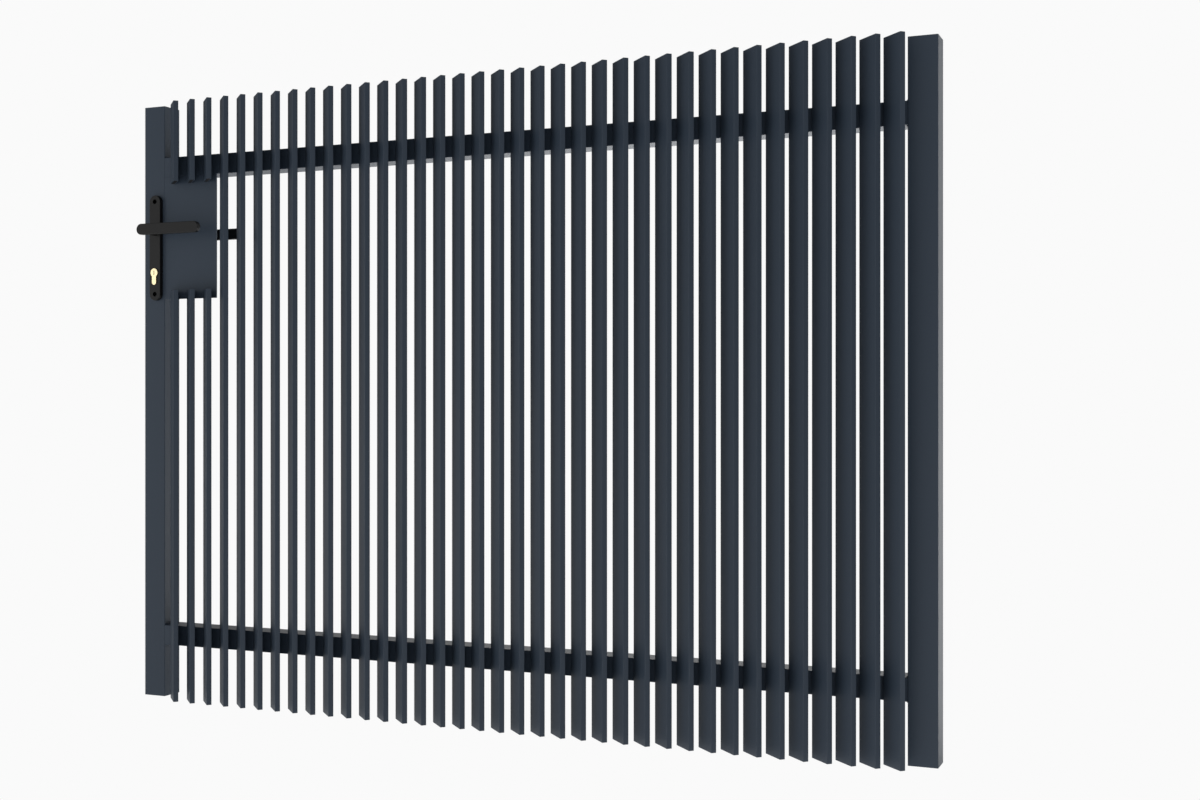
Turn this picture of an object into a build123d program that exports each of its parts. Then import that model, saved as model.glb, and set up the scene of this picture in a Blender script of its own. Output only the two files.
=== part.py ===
# Pedestrian gate leaf of square aluminium tube with slanted vertical slats.
# The origin lies on the outer flat face of the hinge stile, at mid depth and level
# with the foot of the leaf. +Z is up, +X points out of the hinge stile away from the
# leaf, and -Y is the street side, which carries the slats. All sizes are millimetres.
from build123d import *
import os
from math import cos, radians, sin

os.makedirs("parts", exist_ok=True)

# Frame: two stiles with two rails between them
leaf_width = 1608.0
leaf_height = 1200.0
stile_width = 50.0
frame_depth = 47.0
rail_height = 40.0
rail_inset = 105.0
frame_wall = 3.0
frame_corner = 1.5
cap_thickness = 3.0
cap_clearance = 0.1

# Slats: flat hollow profiles, seated with their planed rear corner on the rails
slat_width = 50.0
slat_thickness = 9.5
slat_wall = 1.5
slat_chamfer = 0.5
slat_angle = 45.0
slat_seat_depth = 0.8
slat_pitch = 40.27
first_slat_from_lock_edge = 90.4
least_slat_to_hinge_edge = 60.0
cut_slat_lap = 15.0

# Black end plugs, pressed into the slats flush with their rims
plug_depth = 12.0

# Lock box: a flat sheet that closes the corner of lock stile and top rail behind the lever
box_width = 127.0
box_height = 248.0
box_sheet = 3.0

# Long handle plates, one on each face of the lock stile
plate_width = 26.0
plate_length = 213.0
plate_thickness = 9.0
plate_chamfer = 0.5
plate_from_lock_edge = 32.2
plate_middle_below_spindle = 33.5

# Bolts through both plates, with a round nut on the garden side
bolt_from_plate_end = 12.5
bolt_radius = 2.5
bolt_clearance = 0.2
bolt_head_radius = 4.7
bolt_head_height = 3.0
bolt_head_recess = 3.5
hex_socket_radius = 2.3
hex_socket_depth = 2.0

# Lever handles on one square spindle
spindle_below_top_rail = 110.0
spindle_side = 8.0
spindle_end_cover = 5.0
spindle_clearance = 0.05
lever_length = 150.0
lever_height = 22.0
lever_thickness = 10.0
lever_chamfer = 0.8
lever_stand_off = 42.0
neck_radius = 9.0
journal_radius = 7.5
running_clearance = 0.3

# Profile cylinder with a turning key plug at each end
cylinder_below_spindle = 84.0
cylinder_radius = 8.5
cylinder_stem = 10.0
cylinder_height = 33.0
cylinder_projection = 2.5
cylinder_clearance = 0.3
key_plug_radius = 6.0
key_plug_length = 26.0
key_plug_clearance = 0.1
keyway_width = 1.8
keyway_height = 8.4
keyway_depth = 20.0

# Mortise lock inside the lock stile
case_from_bolt = 12.0
case_thickness = 16.0
case_back_clearance = 1.0
forend_width = 22.0
forend_overhang = 31.0
forend_thickness = 3.0
latch_height = 32.0
latch_thickness = 12.0
latch_throw = 11.0
latch_bevel = 8.0
latch_below_spindle = 15.0
dead_bolt_height = 28.0
dead_bolt_thickness = 10.0
dead_bolt_throw = 1.0
dead_bolt_above_cylinder = 1.0
lock_bolt_tail = 16.0
lock_clearance = 0.3

# Places that the pieces share
frame_front = frame_depth / 2
lock_edge = -leaf_width
inner_lock_edge = lock_edge + stile_width
lock_stile_x = lock_edge + stile_width / 2
hinge_stile_x = -stile_width / 2
bottom_rail_z = rail_inset + rail_height / 2
top_rail_z = leaf_height - bottom_rail_z
box_top = leaf_height - rail_inset - rail_height
box_foot = box_top - box_height
box_edge = inner_lock_edge + box_width
handle_x = lock_edge + plate_from_lock_edge
plate_front = frame_front + plate_thickness
spindle_z = box_top - spindle_below_top_rail
plate_z = spindle_z - plate_middle_below_spindle
cylinder_z = spindle_z - cylinder_below_spindle
bolt_rise = plate_length / 2 - bolt_from_plate_end
bolt_spots = [(handle_x, plate_z - bolt_rise), (handle_x, plate_z + bolt_rise)]
case_height = 2 * (bolt_rise - case_from_bolt)


def save(piece, name):
    """Label a finished piece and write it under the same name."""
    piece.part.label = name
    export_step(piece.part, f"parts/{name}.step")


# Frame


def stile(centre_x):
    """Square tube that stands the full height of the leaf."""
    with BuildPart() as tube:
        with BuildSketch():
            with Locations((centre_x, 0)):
                RectangleRounded(stile_width, frame_depth, frame_corner)
                Rectangle(
                    stile_width - 2 * frame_wall,
                    frame_depth - 2 * frame_wall,
                    mode=Mode.SUBTRACT,
                )
        extrude(amount=leaf_height)
    return tube


def stile_cap(centre_x, foot):
    """Plate let into one end of a stile, flush with the tube's rim."""
    with BuildPart() as cap:
        with BuildSketch(Plane.XY.offset(foot)):
            with Locations((centre_x, 0)):
                Rectangle(
                    stile_width - 2 * frame_wall - 2 * cap_clearance,
                    frame_depth - 2 * frame_wall - 2 * cap_clearance,
                )
        extrude(amount=cap_thickness)
    return cap


def rail(centre_z):
    """Hollow rail that butts against both stiles."""
    with BuildPart() as tube:
        with BuildSketch(Plane.YZ.offset(inner_lock_edge)):
            with Locations((0, centre_z)):
                RectangleRounded(frame_depth, rail_height, frame_corner)
                Rectangle(
                    frame_depth - 2 * frame_wall,
                    rail_height - 2 * frame_wall,
                    mode=Mode.SUBTRACT,
                )
        extrude(amount=leaf_width - 2 * stile_width)
    return tube


def cylinder_outline(clearance):
    """Profile cylinder seen from the street: a circle with a narrower round-ended stem."""
    drop = cylinder_height - cylinder_radius
    stem_length = drop + cylinder_stem / 2
    with BuildSketch(Plane.XZ) as outline:
        with Locations((handle_x, cylinder_z)):
            Circle(cylinder_radius + clearance)
        with Locations((handle_x, cylinder_z + stem_length / 2 - drop)):
            SlotOverall(stem_length + 2 * clearance, cylinder_stem + 2 * clearance, rotation=90)
    return outline.sketch


hinge_stile = stile(hinge_stile_x)
save(hinge_stile, "hinge_stile")

with BuildPart() as lock_stile:
    add(stile(lock_stile_x).part)
    # Holes for the spindle and the plates' bolts, right through both faces
    with BuildSketch(Plane.XZ):
        with Locations((handle_x, spindle_z)):
            Circle(journal_radius + running_clearance)
        with Locations(*bolt_spots):
            Circle(bolt_radius + bolt_clearance)
    extrude(amount=frame_depth, both=True, mode=Mode.SUBTRACT)
    extrude(cylinder_outline(cylinder_clearance), frame_depth, both=True, mode=Mode.SUBTRACT)
    # Pocket for the lock case in the outer wall
    with BuildSketch(Plane.YZ.offset(lock_edge)):
        with Locations((0, plate_z)):
            Rectangle(case_thickness + 2 * lock_clearance, case_height + 2 * lock_clearance)
    extrude(amount=frame_wall, mode=Mode.SUBTRACT)
save(lock_stile, "lock_stile")

save(stile_cap(hinge_stile_x, leaf_height - cap_thickness), "hinge_stile_top_cap")
save(stile_cap(hinge_stile_x, 0), "hinge_stile_foot_cap")
save(stile_cap(lock_stile_x, leaf_height - cap_thickness), "lock_stile_top_cap")
save(stile_cap(lock_stile_x, 0), "lock_stile_foot_cap")
save(rail(top_rail_z), "top_rail")
save(rail(bottom_rail_z), "bottom_rail")

# Sheet let in flush with the street faces, welded to the lock stile and the top rail
with BuildPart() as lock_box:
    with Locations((inner_lock_edge, -frame_front, box_top)):
        Box(
            box_width,
            box_sheet,
            box_height,
            align=(Align.MIN, Align.MIN, Align.MAX),
        )
save(lock_box, "lock_box")

# Slats
slat_reach = (
    slat_width / 2 * sin(radians(slat_angle)) + slat_thickness / 2 * cos(radians(slat_angle))
)
slat_seat = slat_reach - slat_seat_depth
slat_y = -frame_front - slat_seat
slat_field = leaf_width - first_slat_from_lock_edge - least_slat_to_hinge_edge
slat_spots = [
    (lock_edge + first_slat_from_lock_edge + number * slat_pitch, slat_y)
    for number in range(int(slat_field / slat_pitch) + 1)
]
# Slats that would cross the lock box are cut; the others run the leaf's full height
cut_slat_spots = [spot for spot in slat_spots if spot[0] < box_edge]
full_slat_spots = [spot for spot in slat_spots if spot[0] >= box_edge]

# Outline of a slat seen from above, its street edge turned towards the hinge stile
with BuildSketch() as slat_outline:
    Rectangle(slat_width, slat_thickness, rotation=-slat_angle)
    with Locations((0, slat_seat)):
        Rectangle(
            slat_width,
            slat_width,
            align=(Align.CENTER, Align.MIN),
            mode=Mode.SUBTRACT,
        )
    chamfer(slat_outline.vertices().sort_by(Axis.Y)[:3], slat_chamfer)

with BuildSketch() as slat_hollow:
    Rectangle(
        slat_width - 2 * slat_wall,
        slat_thickness - 2 * slat_wall,
        rotation=-slat_angle,
    )


def slat_row(spots, foot, head):
    """Row of like hollow slats between two heights."""
    with BuildPart() as row:
        with BuildSketch(Plane.XY.offset(foot)):
            with Locations(*spots):
                add(slat_outline.sketch)
                add(slat_hollow.sketch, mode=Mode.SUBTRACT)
        extrude(amount=head - foot)
    return row


def plug_row(spots, end_height, inward):
    """Row of end plugs at one height; inward is 1 for a foot and -1 for a head."""
    with BuildPart() as row:
        with BuildSketch(Plane.XY.offset(end_height)):
            with Locations(*spots):
                add(slat_hollow.sketch)
        extrude(amount=inward * plug_depth)
    return row


upper_cut_foot = box_top - cut_slat_lap
lower_cut_top = box_foot + cut_slat_lap
save(slat_row(full_slat_spots, 0, leaf_height), "slats")
save(slat_row(cut_slat_spots, upper_cut_foot, leaf_height), "upper_cut_slats")
save(slat_row(cut_slat_spots, 0, lower_cut_top), "lower_cut_slats")
save(plug_row(slat_spots, leaf_height, -1), "slat_top_plugs")
save(plug_row(slat_spots, 0, 1), "slat_foot_plugs")
save(plug_row(cut_slat_spots, upper_cut_foot, 1), "upper_cut_slat_foot_plugs")
save(plug_row(cut_slat_spots, lower_cut_top, -1), "lower_cut_slat_top_plugs")

# Handle plates
plate_hole = journal_radius + running_clearance
head_pocket = bolt_head_height + bolt_head_recess

with BuildPart() as street_plate:
    with BuildSketch(Plane.XZ.offset(frame_front)):
        with Locations((handle_x, plate_z)):
            SlotOverall(plate_length, plate_width, rotation=90)
        with Locations((handle_x, spindle_z)):
            Circle(plate_hole, mode=Mode.SUBTRACT)
    extrude(amount=plate_thickness)
    chamfer(street_plate.faces().sort_by(Axis.Y)[0].outer_wire().edges(), plate_chamfer)
    extrude(cylinder_outline(cylinder_clearance), plate_front, mode=Mode.SUBTRACT)
    # Counterbored bolt holes
    with BuildSketch(Plane.XZ.offset(frame_front)):
        with Locations(*bolt_spots):
            Circle(bolt_radius + bolt_clearance)
    extrude(amount=plate_thickness, mode=Mode.SUBTRACT)
    with BuildSketch(Plane.XZ.offset(plate_front - head_pocket)):
        with Locations(*bolt_spots):
            Circle(bolt_head_radius + bolt_clearance)
    extrude(amount=head_pocket, mode=Mode.SUBTRACT)
save(street_plate, "street_plate")

with BuildPart() as garden_plate:
    mirror(street_plate.part, about=Plane.XZ)
save(garden_plate, "garden_plate")

# Socket-head bolts through both plates and the stile
head_seat = plate_front - head_pocket
with BuildPart() as plate_bolts:
    with BuildSketch(Plane.XZ.offset(head_seat)):
        with Locations(*bolt_spots):
            Circle(bolt_head_radius)
    extrude(amount=bolt_head_height)
    with BuildSketch(Plane.XZ.offset(head_seat)):
        with Locations(*bolt_spots):
            Circle(bolt_radius)
    extrude(amount=-2 * head_seat)
    with BuildSketch(Plane.XZ.offset(head_seat + bolt_head_height)):
        with Locations(*bolt_spots):
            RegularPolygon(hex_socket_radius, 6)
    extrude(amount=-hex_socket_depth, mode=Mode.SUBTRACT)
save(plate_bolts, "plate_bolts")

with BuildPart() as plate_nuts:
    with BuildSketch(Plane.XZ.offset(-head_seat)):
        with Locations(*bolt_spots):
            Circle(bolt_head_radius)
    extrude(amount=-bolt_head_height)
save(plate_nuts, "plate_nuts")

# Levers and spindle
bar_back = frame_front + lever_stand_off
bar_x = handle_x + (lever_length - lever_height) / 2
neck_foot = plate_front + running_clearance
spindle_reach = bar_back - spindle_end_cover
socket_side = spindle_side + 2 * spindle_clearance

with BuildPart() as street_lever:
    # Flat bar with round ends
    with BuildSketch(Plane.XZ.offset(bar_back)):
        with Locations((bar_x, spindle_z)):
            SlotOverall(lever_length, lever_height)
    extrude(amount=lever_thickness)
    for face in street_lever.faces().filter_by(Axis.Y):
        chamfer(face.edges(), lever_chamfer)
    # Neck between the plate and the bar
    with BuildSketch(Plane.XZ.offset(neck_foot)):
        with Locations((handle_x, spindle_z)):
            Circle(neck_radius)
    extrude(amount=bar_back - neck_foot)
    # Journal that turns in the plate, and the socket for the spindle
    with BuildSketch(Plane.XZ.offset(frame_front)):
        with Locations((handle_x, spindle_z)):
            Circle(journal_radius)
    extrude(amount=plate_thickness + running_clearance)
    with BuildSketch(Plane.XZ.offset(frame_front)):
        with Locations((handle_x, spindle_z)):
            Rectangle(socket_side, socket_side)
    extrude(amount=spindle_reach - frame_front, mode=Mode.SUBTRACT)
save(street_lever, "street_lever")

with BuildPart() as garden_lever:
    mirror(street_lever.part, about=Plane.XZ)
save(garden_lever, "garden_lever")

with BuildPart() as spindle:
    with BuildSketch(Plane.XZ):
        with Locations((handle_x, spindle_z)):
            Rectangle(spindle_side, spindle_side)
    extrude(amount=spindle_reach, both=True)
save(spindle, "spindle")

# Cylinder and its key plugs
cylinder_front = plate_front + cylinder_projection

with BuildPart() as lock_cylinder:
    extrude(cylinder_outline(0), cylinder_front, both=True)
    for end in (-1, 1):
        with BuildSketch(Plane.XZ.offset(end * cylinder_front)):
            with Locations((handle_x, cylinder_z)):
                Circle(key_plug_radius + key_plug_clearance)
        extrude(amount=-end * key_plug_length, mode=Mode.SUBTRACT)
save(lock_cylinder, "lock_cylinder")

with BuildPart() as street_key_plug:
    with BuildSketch(Plane.XZ.offset(cylinder_front)):
        with Locations((handle_x, cylinder_z)):
            Circle(key_plug_radius)
    extrude(amount=-key_plug_length)
    with BuildSketch(Plane.XZ.offset(cylinder_front)):
        with Locations((handle_x, cylinder_z)):
            Rectangle(keyway_width, keyway_height)
    extrude(amount=-keyway_depth, mode=Mode.SUBTRACT)
save(street_key_plug, "street_key_plug")

with BuildPart() as garden_key_plug:
    mirror(street_key_plug.part, about=Plane.XZ)
save(garden_key_plug, "garden_key_plug")

# Mortise lock: case, forend, latch and dead bolt
latch_z = spindle_z - latch_below_spindle
dead_bolt_z = cylinder_z + dead_bolt_above_cylinder


def lock_windows(clearance):
    """Openings of the latch and the dead bolt, seen along the leaf."""
    with BuildSketch(Plane.YZ.offset(lock_edge)) as windows:
        with Locations((0, latch_z)):
            Rectangle(latch_thickness + 2 * clearance, latch_height + 2 * clearance)
        with Locations((0, dead_bolt_z)):
            Rectangle(dead_bolt_thickness + 2 * clearance, dead_bolt_height + 2 * clearance)
    return windows.sketch


def bolt_block(centre_z, thickness, height, throw):
    """Plain block of a lock bolt, from its tail in the case to its nose."""
    with BuildPart() as block:
        with Locations((lock_edge + lock_bolt_tail, 0, centre_z)):
            Box(
                lock_bolt_tail + forend_thickness + throw,
                thickness,
                height,
                align=(Align.MAX, Align.CENTER, Align.CENTER),
            )
    return block


case_depth = stile_width - frame_wall - case_back_clearance

with BuildPart() as lock_case:
    with Locations((lock_edge, 0, plate_z)):
        Box(
            case_depth,
            case_thickness,
            case_height,
            align=(Align.MIN, Align.CENTER, Align.CENTER),
        )
    with BuildSketch(Plane.XZ):
        with Locations((handle_x, spindle_z)):
            Circle(journal_radius + running_clearance)
    extrude(amount=case_thickness, both=True, mode=Mode.SUBTRACT)
    extrude(cylinder_outline(cylinder_clearance), case_thickness, both=True, mode=Mode.SUBTRACT)
    extrude(lock_windows(lock_clearance), lock_bolt_tail, mode=Mode.SUBTRACT)
save(lock_case, "lock_case")

with BuildPart() as lock_forend:
    with BuildSketch(Plane.YZ.offset(lock_edge)):
        with Locations((0, plate_z)):
            SlotOverall(case_height + 2 * forend_overhang, forend_width, rotation=90)
    extrude(amount=-forend_thickness)
    extrude(lock_windows(lock_clearance), -forend_thickness, mode=Mode.SUBTRACT)
save(lock_forend, "lock_forend")

with BuildPart() as latch_bolt:
    add(bolt_block(latch_z, latch_thickness, latch_height, latch_throw).part)
    nose = latch_bolt.edges().filter_by(Axis.Z).group_by(Axis.X)[0].sort_by(Axis.Y)[-1]
    chamfer(nose, latch_bevel)
save(latch_bolt, "latch_bolt")

dead_bolt = bolt_block(dead_bolt_z, dead_bolt_thickness, dead_bolt_height, dead_bolt_throw)
save(dead_bolt, "dead_bolt")
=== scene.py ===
"""Looks of a pedestrian gate leaf: powder-coated tube, slanted slats and a lever lock."""
import math

import bpy
import numpy as np
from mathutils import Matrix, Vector


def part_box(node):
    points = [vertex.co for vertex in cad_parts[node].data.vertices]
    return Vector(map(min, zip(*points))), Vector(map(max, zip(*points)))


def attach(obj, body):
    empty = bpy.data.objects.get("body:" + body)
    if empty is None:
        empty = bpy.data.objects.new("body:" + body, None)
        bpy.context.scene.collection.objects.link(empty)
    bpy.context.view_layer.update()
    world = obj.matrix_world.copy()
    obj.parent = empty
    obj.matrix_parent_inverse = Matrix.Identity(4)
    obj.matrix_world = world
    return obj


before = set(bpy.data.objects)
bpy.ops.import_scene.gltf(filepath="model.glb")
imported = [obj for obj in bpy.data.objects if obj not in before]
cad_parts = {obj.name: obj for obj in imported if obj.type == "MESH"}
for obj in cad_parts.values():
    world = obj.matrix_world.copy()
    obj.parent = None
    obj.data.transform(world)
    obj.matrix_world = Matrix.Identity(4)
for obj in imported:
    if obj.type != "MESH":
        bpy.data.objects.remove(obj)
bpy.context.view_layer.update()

# Camera. It stands at half the leaf's height, 2.5 m in front of the street side and to
# the right of the hinge stile, and looks along the level, turned towards the lock.
camera_data = bpy.data.cameras.new("camera")
camera_data.sensor_width = 36.0
camera_data.lens = 44.95
camera_data.shift_y = 0.00097
camera = bpy.data.objects.new("camera", camera_data)
camera.location = (0.4341, -2.4934, 0.600)
level = math.radians(90.0)
turned_to_lock = math.radians(22.689)
camera.rotation_euler = (level, 0.0, turned_to_lock)
bpy.context.scene.collection.objects.link(camera)
bpy.context.scene.camera = camera
bpy.context.scene.view_settings.view_transform = "Standard"


# Studio. White paper runs all around and under the leaf, which hangs 50 mm clear of it as
# it does on its hinges. Its soft glows light the leaf, two from behind and two weaker ones
# from in front, where one wide soft lamp stands on the left.
def linear(hex_colour):
    """Turn an sRGB hex colour into linear red, green, blue and alpha."""
    channels = np.array([int(hex_colour[start:start + 2], 16) for start in (0, 2, 4)]) / 255
    curve = np.where(channels <= 0.04045, channels / 12.92, ((channels + 0.055) / 1.055) ** 2.4)
    return (*curve.tolist(), 1.0)


def add_node(tree, kind, inputs=None, **settings):
    """Add a node with its settings; inputs gives each socket a value or another's output."""
    node = tree.nodes.new(kind)
    for name, value in settings.items():
        setattr(node, name, value)
    for socket, value in (inputs or {}).items():
        if isinstance(value, bpy.types.NodeSocket):
            tree.links.new(value, node.inputs[socket])
        else:
            node.inputs[socket].default_value = value
    return node


def paper_light(tree, way, around):
    """White to the camera; as a light, the strength around, and the glows added to it.

    The dot product of a way and a glow's own way says how far the two agree. The glow
    rises softly from none, where the product is at its start, to its strength at full.
    """
    strength = around
    for glow_way, start, full, glow_strength in glows:
        agreement = add_node(
            tree, "ShaderNodeVectorMath", {0: way, 1: glow_way}, operation="DOT_PRODUCT"
        )
        glow = add_node(
            tree,
            "ShaderNodeMapRange",
            {
                "Value": agreement.outputs["Value"],
                "From Min": start,
                "From Max": full,
                "To Max": glow_strength,
            },
            interpolation_type="SMOOTHSTEP",
        )
        strength = add_node(
            tree, "ShaderNodeMath", {0: strength, 1: glow.outputs["Result"]}, operation="ADD"
        ).outputs[0]
    seen = add_node(tree, "ShaderNodeLightPath").outputs["Is Camera Ray"]
    shown = add_node(tree, "ShaderNodeMix", {"Factor": seen, "A": strength, "B": 1.0})
    return add_node(
        tree, "ShaderNodeEmission", {"Color": linear(paper_white), "Strength": shown.outputs[0]}
    )


paper_white = "fafafa"
light_around = 0.14
light_from_floor = 0.78

# The glows lie behind the leaf, behind it on the left, and in front of it on the right and
# on the left. Each is its way, its start, its full and its strength.
glows = (
    ((-0.05, 1.00, 0.0), 0.78, 0.93, 1.7),
    ((-0.60, 0.80, 0.0), 0.91, 1.0, 0.75),
    ((0.90, -0.44, 0.0), 0.3, 1.0, 0.25),
    ((-0.45, -0.89, 0.0), 0.2, 1.0, 0.35),
)
leaf_clearance = 0.05
glow_centre = (-0.1, 0.0, -leaf_clearance)
paper_half = 30.0

world = bpy.data.worlds.new("paper")
world.use_nodes = True
tree = world.node_tree
tree.nodes.clear()
way = add_node(tree, "ShaderNodeTexCoord").outputs["Generated"]
sky = paper_light(tree, way, light_around)
add_node(tree, "ShaderNodeOutputWorld", {"Surface": sky.outputs[0]})
bpy.context.scene.world = world

floor_mesh = bpy.data.meshes.new("floor")
floor_corners = paper_half * np.array([(-1, -1, 0), (1, -1, 0), (1, 1, 0), (-1, 1, 0)])
floor_corners[:, 2] = -leaf_clearance
floor_mesh.from_pydata(floor_corners.tolist(), [], [(0, 1, 2, 3)])
floor = bpy.data.objects.new("floor", floor_mesh)
bpy.context.scene.collection.objects.link(floor)
paper = bpy.data.materials.new("studio_paper")
paper.use_nodes = True
tree = paper.node_tree
tree.nodes.clear()
spot = add_node(tree, "ShaderNodeNewGeometry").outputs["Position"]
reach = add_node(tree, "ShaderNodeVectorMath", {0: spot, 1: glow_centre}, operation="SUBTRACT")
way = add_node(tree, "ShaderNodeVectorMath", {0: reach.outputs[0]}, operation="NORMALIZE")
lit_floor = paper_light(tree, way.outputs[0], light_from_floor)
add_node(tree, "ShaderNodeOutputMaterial", {"Surface": lit_floor.outputs[0]})
floor_mesh.materials.append(paper)

lamp_data = bpy.data.lights.new("lamp", "AREA")
lamp_data.shape = "DISK"
lamp_data.size = 1.0
lamp_data.energy = 4.1
lamp = bpy.data.objects.new("lamp", lamp_data)
lamp.location = (-3.79, -2.74, 1.15)
lamp_aim = Vector((-1.58, 0.0, 0.86))
lamp.rotation_euler = (lamp_aim - lamp.location).to_track_quat("-Z", "Y").to_euler()
lamp.visible_camera = False
bpy.context.scene.collection.objects.link(lamp)


# Frame. Stiles, rails, caps and the sheet beside the lock are aluminium, welded and
# ground flush on their faces, then powder coated in one anthracite grey.
def surface(name, deep, light, cloud_size, grain, grain_depth, roughness, **shell):
    """Finish of two close colours in soft clouds and a grain of given size and depth.

    The grain is three sizes, along X, Y and Z, so that a drawn or brushed finish can run
    one way. Where the finish is lighter it is a little duller. The shell gives more
    Principled sockets, with spaces written as underscores.
    """
    material = bpy.data.materials.new(name)
    material.use_nodes = True
    tree = material.node_tree
    tree.nodes.clear()
    place = add_node(tree, "ShaderNodeTexCoord").outputs["Object"]
    cloud = add_node(tree, "ShaderNodeTexNoise", {"Vector": place, "Scale": 1 / cloud_size})
    finer = add_node(
        tree, "ShaderNodeMapping", {"Vector": place, "Scale": [1 / size for size in grain]}
    )
    bumps = add_node(
        tree,
        "ShaderNodeTexNoise",
        {"Vector": finer.outputs[0], "Scale": 1.0, "Detail": grain_detail},
    )
    blend = add_node(
        tree,
        "ShaderNodeMix",
        {"Factor": grain_share, "A": cloud.outputs["Fac"], "B": bumps.outputs["Fac"]},
    ).outputs[0]
    colour = add_node(
        tree,
        "ShaderNodeMix",
        {"Factor": blend, "A": linear(deep), "B": linear(light)},
        data_type="RGBA",
    )
    dullness = add_node(
        tree,
        "ShaderNodeMapRange",
        {
            "Value": blend,
            "To Min": roughness - roughness_spread,
            "To Max": roughness + roughness_spread,
        },
    )
    relief = add_node(
        tree, "ShaderNodeBump", {"Height": bumps.outputs["Fac"], "Distance": grain_depth}
    )
    sockets = {socket.replace("_", " "): value for socket, value in shell.items()}
    skin = add_node(
        tree,
        "ShaderNodeBsdfPrincipled",
        {
            "Base Color": colour.outputs["Result"],
            "Roughness": dullness.outputs["Result"],
            "Normal": relief.outputs["Normal"],
            **sockets,
        },
    )
    add_node(tree, "ShaderNodeOutputMaterial", {"Surface": skin.outputs[0]})
    return material


def finish(node_names, material):
    """Give carried-over pieces their material."""
    for name in node_names:
        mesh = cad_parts[name].data
        mesh.materials.clear()
        mesh.materials.append(material)


grain_detail = 3.0
grain_share = 0.6
roughness_spread = 0.08

# Baked polyester powder: a satin film, whose melted grains leave a soft orange peel that
# breaks reflections up a little.
anthracite = surface(
    "powder_coated_aluminium",
    "303b48",
    "36414e",
    cloud_size=0.35,
    grain=(0.002, 0.002, 0.002),
    grain_depth=0.00012,
    roughness=0.5,
    Specular_IOR_Level=0.3,
)
finish(
    [
        "lock_stile",
        "hinge_stile",
        "lock_stile_top_cap",
        "lock_stile_foot_cap",
        "hinge_stile_top_cap",
        "hinge_stile_foot_cap",
        "top_rail",
        "bottom_rail",
        "lock_box",
    ],
    anthracite,
)


# Welds of the frame. Beads of filler join rails to stiles above and below, and stitches
# hold the lock sheet from behind; they were coated together with the frame.
def weld_beads(name, starts, ends, first_legs, second_legs, leg):
    """Rippled beads of one length, each in the corner between two faces.

    A bead's cross-section is a quarter turn from the first leg's direction to the second's,
    closed through a root just inside the corner. Its radius is the leg, times a taper that
    rises with the root of the way from each end, and times one plus a small cosine of the
    way along, which bows forward in the middle of the arc. Beads run the way that makes
    the two legs and the run right-handed, so that their faces point outwards.
    """
    starts, ends, first_legs, second_legs = (
        np.asarray(rows, float) for rows in (starts, ends, first_legs, second_legs)
    )
    handed = (np.cross(first_legs, second_legs) * (ends - starts)).sum(1, keepdims=True)
    starts, ends = np.where(handed > 0, starts, ends), np.where(handed > 0, ends, starts)
    count = len(starts)
    length = float(np.linalg.norm(ends[0] - starts[0]))
    rings = int(length / ripple_pitch * rings_per_ripple) + 1
    along = np.linspace(0, 1, rings)[:, None]
    turn = np.linspace(0, math.pi / 2, arc_points)[None, :]
    ripples = along * length / ripple_pitch - ripple_bow * np.sin(2 * turn)
    from_end = np.minimum(along, 1 - along) * length / (taper_legs * leg)
    taper = bead_end + (1 - bead_end) * np.clip(from_end, 0, 1) ** 0.5
    radius = leg * taper * (1 + ripple_height * np.cos(2 * math.pi * ripples))
    path = starts[:, None, :] + (ends - starts)[:, None, :] * along[None, :, :]
    arcs = (
        path[:, :, None, :]
        + (radius * np.cos(turn))[None, :, :, None] * first_legs[:, None, None, :]
        + (radius * np.sin(turn))[None, :, :, None] * second_legs[:, None, None, :]
    )
    corners = path - weld_root * (first_legs + second_legs)[:, None, :]
    points = np.concatenate([arcs, corners[:, :, None, :]], axis=2)
    sides = points.shape[2]
    number = np.arange(points[..., 0].size).reshape(count, rings, sides)
    onward = np.roll(number, -1, axis=2)
    quads = np.stack([number[:, :-1], onward[:, :-1], onward[:, 1:], number[:, 1:]], axis=-1)
    closings = [*number[:, 0, ::-1].tolist(), *number[:, -1, :].tolist()]
    mesh = bpy.data.meshes.new(name)
    mesh.from_pydata(
        points.reshape(-1, 3).tolist(), [], [*quads.reshape(-1, 4).tolist(), *closings]
    )
    mesh.polygons.foreach_set("use_smooth", np.arange(len(mesh.polygons)) < quads[..., 0].size)
    mesh.materials.append(anthracite)
    welds = bpy.data.objects.new(name, mesh)
    bpy.context.scene.collection.objects.link(welds)
    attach(welds, "leaf")


# Ripples are 2.5 mm apart and bow forward by a share of that. Their height and the ends of
# a bead are shares of the leg, and a bead tapers over one and a half legs.
ripple_pitch = 0.0025
ripple_bow = 0.4
ripple_height = 0.07
bead_end = 0.4
taper_legs = 1.5
rings_per_ripple = 5
arc_points = 7
weld_root = 0.0003
rail_leg = 0.003
sheet_leg = 0.0025
stitch = 0.04

starts, ends, first_legs, second_legs = [], [], [], []
for rail in ("top_rail", "bottom_rail"):
    low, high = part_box(rail)
    for stile_x, inward in ((low.x, 1), (high.x, -1)):
        for face_z, outward in ((low.z, -1), (high.z, 1)):
            starts.append((stile_x, low.y + rail_leg, face_z))
            ends.append((stile_x, high.y - rail_leg, face_z))
            first_legs.append((inward, 0, 0))
            second_legs.append((0, 0, outward))
weld_beads("rail_welds", starts, ends, first_legs, second_legs, rail_leg)

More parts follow.
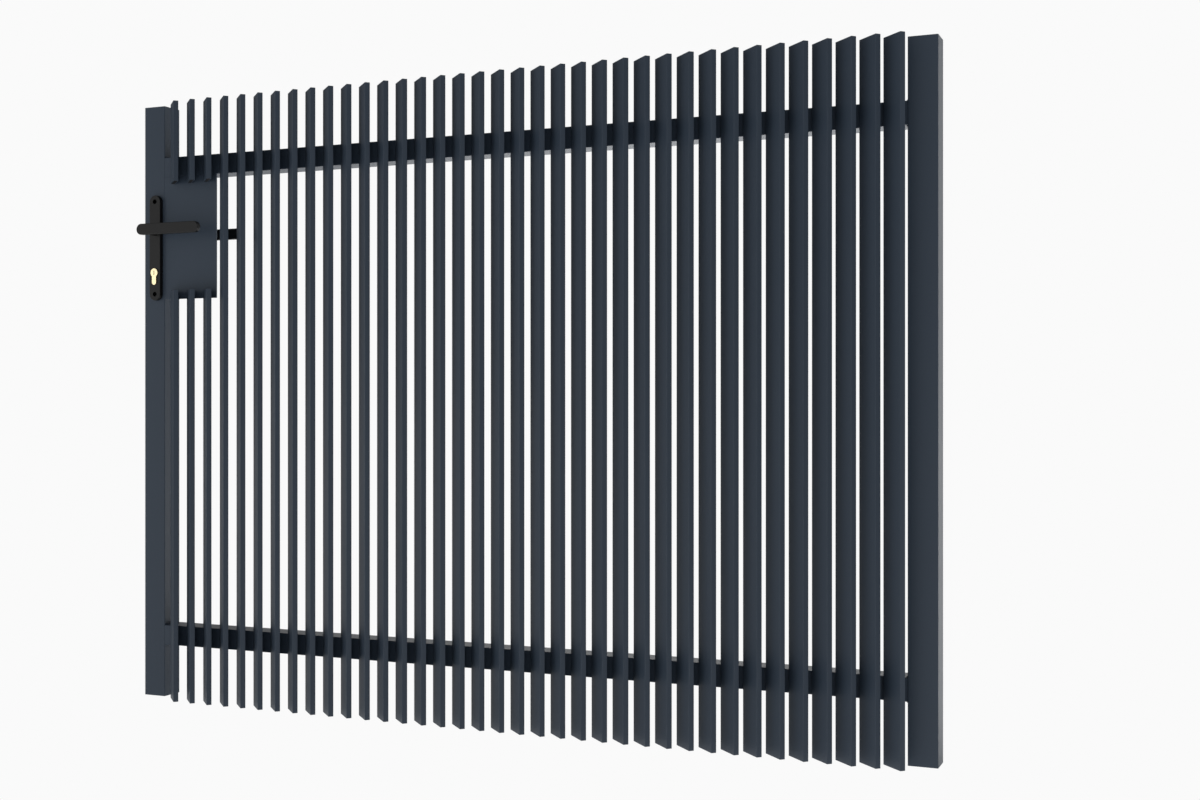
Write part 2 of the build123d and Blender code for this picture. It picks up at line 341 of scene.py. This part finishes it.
side_stitches = 3
top_stitches = 2
low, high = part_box("lock_box")
side_z = np.linspace(low.z, high.z - 2 * stitch, side_stitches)
top_x = np.linspace(low.x + stitch, high.x - stitch, top_stitches)
starts = [*[(low.x, high.y, z) for z in side_z], *[(x, high.y, high.z) for x in top_x]]
ends = [
    *[(low.x, high.y, z + stitch) for z in side_z],
    *[(x + stitch, high.y, high.z) for x in top_x],
]
first_legs = [(1, 0, 0)] * side_stitches + [(0, 0, -1)] * top_stitches
second_legs = [(0, 1, 0)] * len(starts)
weld_beads("sheet_welds", starts, ends, first_legs, second_legs, sheet_leg)

# Slats. Flat hollow profiles from the same powder line as the frame, each welded to the
# two rails by a bead behind its rear edge, on the side away from the hinges.
finish(["slats", "upper_cut_slats", "lower_cut_slats"], anthracite)

slat_width = 0.050
slat_thickness = 0.0095
slat_planed = 0.0008
slat_count = 37
cut_slat_count = 3
slat_leg = 0.004
weld_inset = 0.003

# The slats are turned by 45 degrees, so the slant is both its sine and its cosine.
slant = math.sqrt(0.5)

row_low, row_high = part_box("slat_top_plugs")
cut_low, cut_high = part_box("upper_cut_slat_foot_plugs")
row_length = row_high.x - row_low.x
cut_row_length = cut_high.x - cut_low.x
slat_pitch = (row_length - cut_row_length) / (slat_count - cut_slat_count)
plug_length = row_length - (slat_count - 1) * slat_pitch
first_slat_x = row_low.x + plug_length / 2
rear_corner = (slat_width - slat_thickness) / 2 * slant + slat_planed
seats = first_slat_x - rear_corner + slat_pitch * np.arange(slat_count)
starts, ends = [], []
for rail in ("top_rail", "bottom_rail"):
    low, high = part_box(rail)
    starts += [(x, low.y, low.z + weld_inset) for x in seats]
    ends += [(x, low.y, high.z - weld_inset) for x in seats]
first_legs = [(-1, 0, 0)] * len(starts)
second_legs = [(-slant, -slant, 0)] * len(starts)
weld_beads("slat_welds", starts, ends, first_legs, second_legs, slat_leg)

# End plugs. They are moulded in black polyethylene and pressed into the slats: a dull
# skin with the fine sparkle of an eroded mould.
black_plastic = surface(
    "moulded_polyethylene",
    "0a0a0c",
    "0e0e10",
    cloud_size=0.02,
    grain=(0.0006, 0.0006, 0.0006),
    grain_depth=0.00003,
    roughness=0.6,
    IOR=1.5,
)
finish(
    [
        "slat_top_plugs",
        "slat_foot_plugs",
        "upper_cut_slat_foot_plugs",
        "lower_cut_slat_top_plugs",
    ],
    black_plastic,
)

# Handles. Plates and levers are die-cast aluminium under a matt black coat, whose fine
# texture spreads the light evenly and leaves no clear reflection.
black_coat = surface(
    "black_coated_aluminium",
    "050505",
    "0b0b0b",
    cloud_size=0.05,
    grain=(0.0008, 0.0008, 0.0008),
    grain_depth=0.00006,
    roughness=0.45,
    Specular_IOR_Level=0.35,
)
finish(["street_plate", "garden_plate", "street_lever", "garden_lever"], black_coat)

# Bolts of the plates. Black oxide on machined steel: a thin oiled film, darker and a
# little glossier than the coat around it.
black_oxide = surface(
    "black_oxide_steel",
    "101010",
    "161616",
    cloud_size=0.004,
    grain=(0.0006, 0.0006, 0.0006),
    grain_depth=0.00002,
    roughness=0.35,
    Metallic=1.0,
)
finish(["plate_bolts", "plate_nuts"], black_oxide)

# Spindle and lock case. Drawn bar and pressed sheet, zinc plated: a pale bluish grey
# that clouds over in handling.
zinc = surface(
    "zinc_plated_steel",
    "9a9ea3",
    "b4b8bc",
    cloud_size=0.015,
    grain=(0.0008, 0.0008, 0.0008),
    grain_depth=0.00002,
    roughness=0.4,
    Metallic=1.0,
)
finish(["spindle", "lock_case"], zinc)

# Cylinder. Brass bar, milled and tumbled to a satin sheen, with fine lines along its
# length.
brass = surface(
    "satin_brass",
    "ead8a8",
    "fff0c8",
    cloud_size=0.01,
    grain=(0.0006, 0.004, 0.0006),
    grain_depth=0.00001,
    roughness=0.3,
    Metallic=1.0,
)
finish(["lock_cylinder", "street_key_plug", "garden_key_plug"], brass)

# Forend and lock bolts. Stainless steel, brushed lengthwise on a belt, so highlights
# stretch across the brushing. Its lines are drawn coarser than real ones, to show.
stainless = surface(
    "brushed_stainless_steel",
    "a4a29c",
    "dad8d2",
    cloud_size=0.03,
    grain=(0.0006, 0.0006, 0.03),
    grain_depth=0.00004,
    roughness=0.32,
    Metallic=1.0,
)
finish(["lock_forend", "latch_bolt", "dead_bolt"], stainless)


# Screws of the forend. Two hold the lock in the stile and a third the cylinder; they are
# stainless, with raised heads and a cross recess.
def screw_heads(name, spots, radius, rise):
    """Low domes on a face that looks towards -X, with a cross sunk into the top.

    A square grid is bent into a disc: each of its two ways is shortened by the root of one
    minus half the other's square. The height over it is the rise times one minus a part of
    the square of the distance. A cross is sunk into it, by a smooth step at the sides of
    its arms and one at their ends, and the rim drops below the face.
    """
    steps = np.linspace(-1, 1, head_steps)
    across, upward = np.meshgrid(steps, steps)
    across, upward = across * np.sqrt(1 - upward**2 / 2), upward * np.sqrt(1 - across**2 / 2)
    from_middle_of_arm = np.minimum(np.abs(across), np.abs(upward))
    along_arm = np.maximum(np.abs(across), np.abs(upward))
    in_arm = 1 / (1 + np.exp((from_middle_of_arm - arm_half_width) / arm_edge))
    before_end = 1 / (1 + np.exp((along_arm - arm_reach) / arm_edge))
    height = 1 - dome_fall * (across**2 + upward**2) - cross_depth * in_arm * before_end
    number = np.arange(height.size).reshape(height.shape)
    rim = np.concatenate([number[0, :-1], number[:-1, -1], number[-1, :0:-1], number[:0:-1, 0]])
    height.flat[rim] = -rim_drop
    head = np.stack([-rise * height, radius * across, radius * upward], axis=-1)
    points = (np.asarray(spots)[:, None, :] + head.reshape(-1, 3)).reshape(-1, 3)
    quads = np.stack([number[:-1, :-1], number[1:, :-1], number[1:, 1:], number[:-1, 1:]], -1)
    shifts = number.size * np.arange(len(spots))
    mesh = bpy.data.meshes.new(name)
    mesh.from_pydata(
        points.tolist(),
        [],
        [
            *(quads.reshape(-1, 4) + shifts[:, None, None]).reshape(-1, 4).tolist(),
            *(rim + shifts[:, None]).tolist(),
        ],
    )
    mesh.materials.append(stainless)
    heads = bpy.data.objects.new(name, mesh)
    bpy.context.scene.collection.objects.link(heads)
    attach(heads, "leaf")


# Widths and lengths of the head's form are shares of its radius, heights of its rise.
head_steps = 41
dome_fall = 0.65
arm_half_width = 0.14
arm_reach = 0.55
arm_edge = 0.03
cross_depth = 0.7
rim_drop = 0.2

screw_radius = 0.004
screw_rise = 0.0009
screw_from_end = 0.010
screw_over_cylinder_foot = 0.003
low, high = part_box("lock_forend")
cylinder_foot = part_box("lock_cylinder")[0].z
screw_spots = [
    (low.x, 0.0, low.z + screw_from_end),
    (low.x, 0.0, cylinder_foot + screw_over_cylinder_foot),
    (low.x, 0.0, high.z - screw_from_end),
]
screw_heads("forend_screws", screw_spots, screw_radius, screw_rise)
